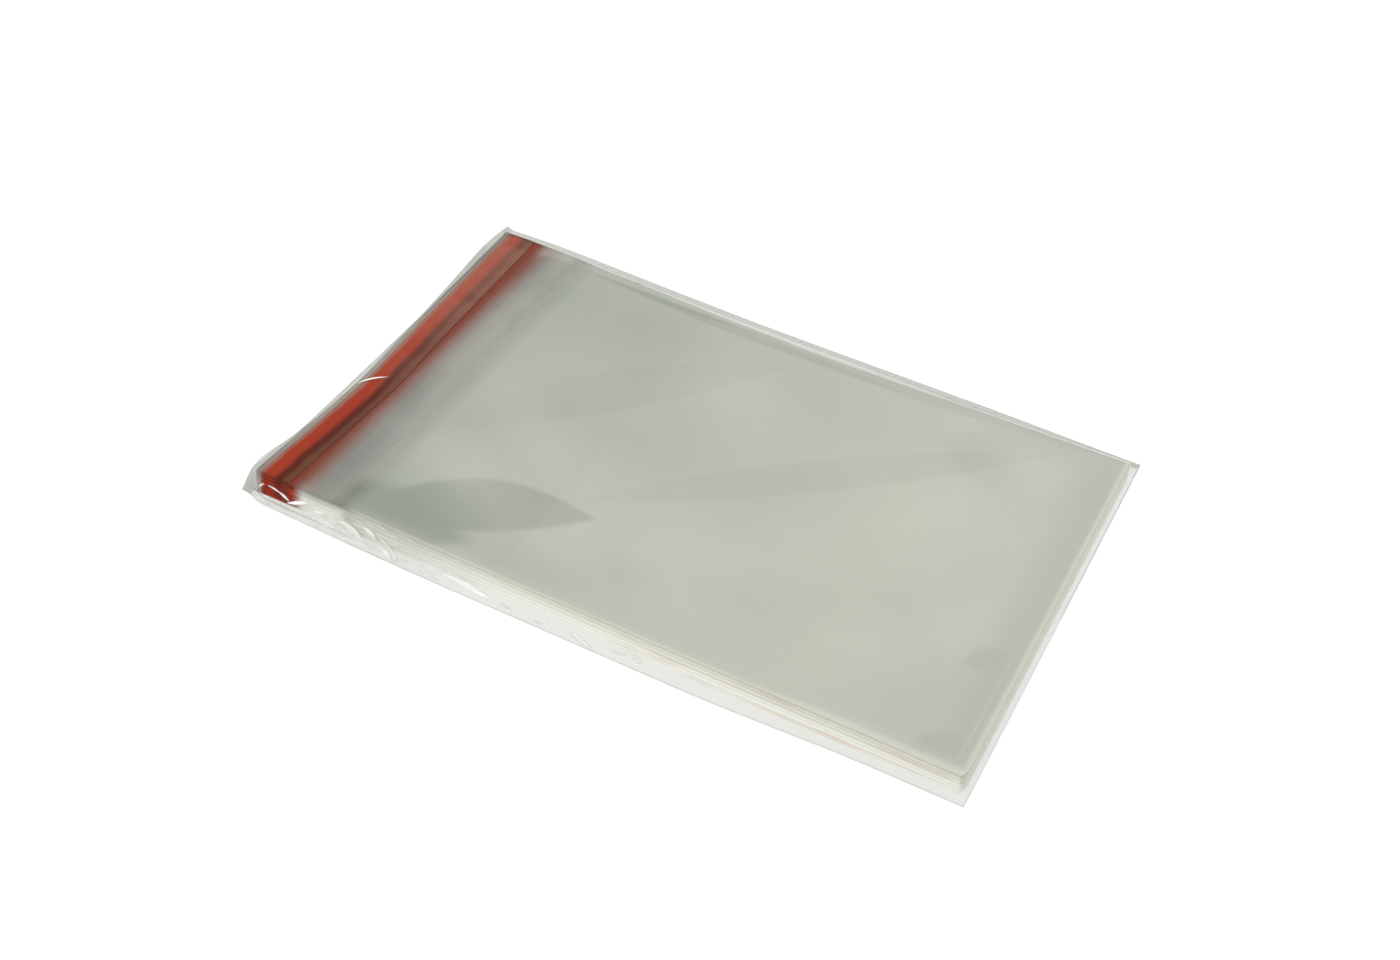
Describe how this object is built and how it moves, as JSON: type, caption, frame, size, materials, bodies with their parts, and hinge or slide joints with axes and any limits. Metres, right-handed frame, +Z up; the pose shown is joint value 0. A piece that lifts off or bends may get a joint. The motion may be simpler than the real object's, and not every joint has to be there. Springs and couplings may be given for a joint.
{
  "type": "poly mailer bag pack",
  "caption": "Flat pack of clear self-seal poly mailer bags with red peel-off liners, stacked inside one clear outer bag.",
  "frame": {"origin": "middle of the pack's flat underside, where it rests", "axes": "+X from the bags' flaps towards their bottom folds, +Y across the bags to the far side, +Z up out of the stack"},
  "size_m": [0.4208, 0.259, 0.015],
  "materials": {
    "outer_film": "thin clear film, glossy, lightly wrinkled",
    "mailer_film": "thin clear film, smooth, grey-green where many layers lie together",
    "release_liner": "smooth red release film"
  },
  "bodies": {
    "root": {"outer_bag": "outer_film", "bag_01": "mailer_film", "bag_02": "mailer_film", "bag_03": "mailer_film", "bag_04": "mailer_film", "bag_05": "mailer_film", "bag_06": "mailer_film", "bag_07": "mailer_film", "bag_08": "mailer_film", "bag_09": "mailer_film", "bag_10": "mailer_film", "bag_11": "mailer_film", "bag_12": "mailer_film", "bag_13": "mailer_film", "bag_14": "mailer_film", "bag_15": "mailer_film", "bag_16": "mailer_film", "bag_17": "mailer_film", "bag_18": "mailer_film", "bag_19": "mailer_film", "bag_20": "mailer_film", "bag_21": "mailer_film", "bag_22": "mailer_film", "bag_23": "mailer_film", "bag_24": "mailer_film", "bag_25": "mailer_film", "bag_26": "mailer_film", "bag_27": "mailer_film", "bag_28": "mailer_film", "liner_01": "release_liner", "liner_02": "release_liner", "liner_03": "release_liner", "liner_04": "release_liner", "liner_05": "release_liner", "liner_06": "release_liner", "liner_07": "release_liner", "liner_08": "release_liner", "liner_09": "release_liner", "liner_10": "release_liner", "liner_11": "release_liner", "liner_12": "release_liner", "liner_13": "release_liner", "liner_14": "release_liner", "liner_15": "release_liner", "liner_16": "release_liner", "liner_17": "release_liner", "liner_18": "release_liner", "liner_19": "release_liner", "liner_20": "release_liner", "liner_21": "release_liner", "liner_22": "release_liner", "liner_23": "release_liner", "liner_24": "release_liner", "liner_25": "release_liner", "liner_26": "release_liner", "liner_27": "release_liner", "liner_28": "release_liner"}
  },
  "joints": []
}
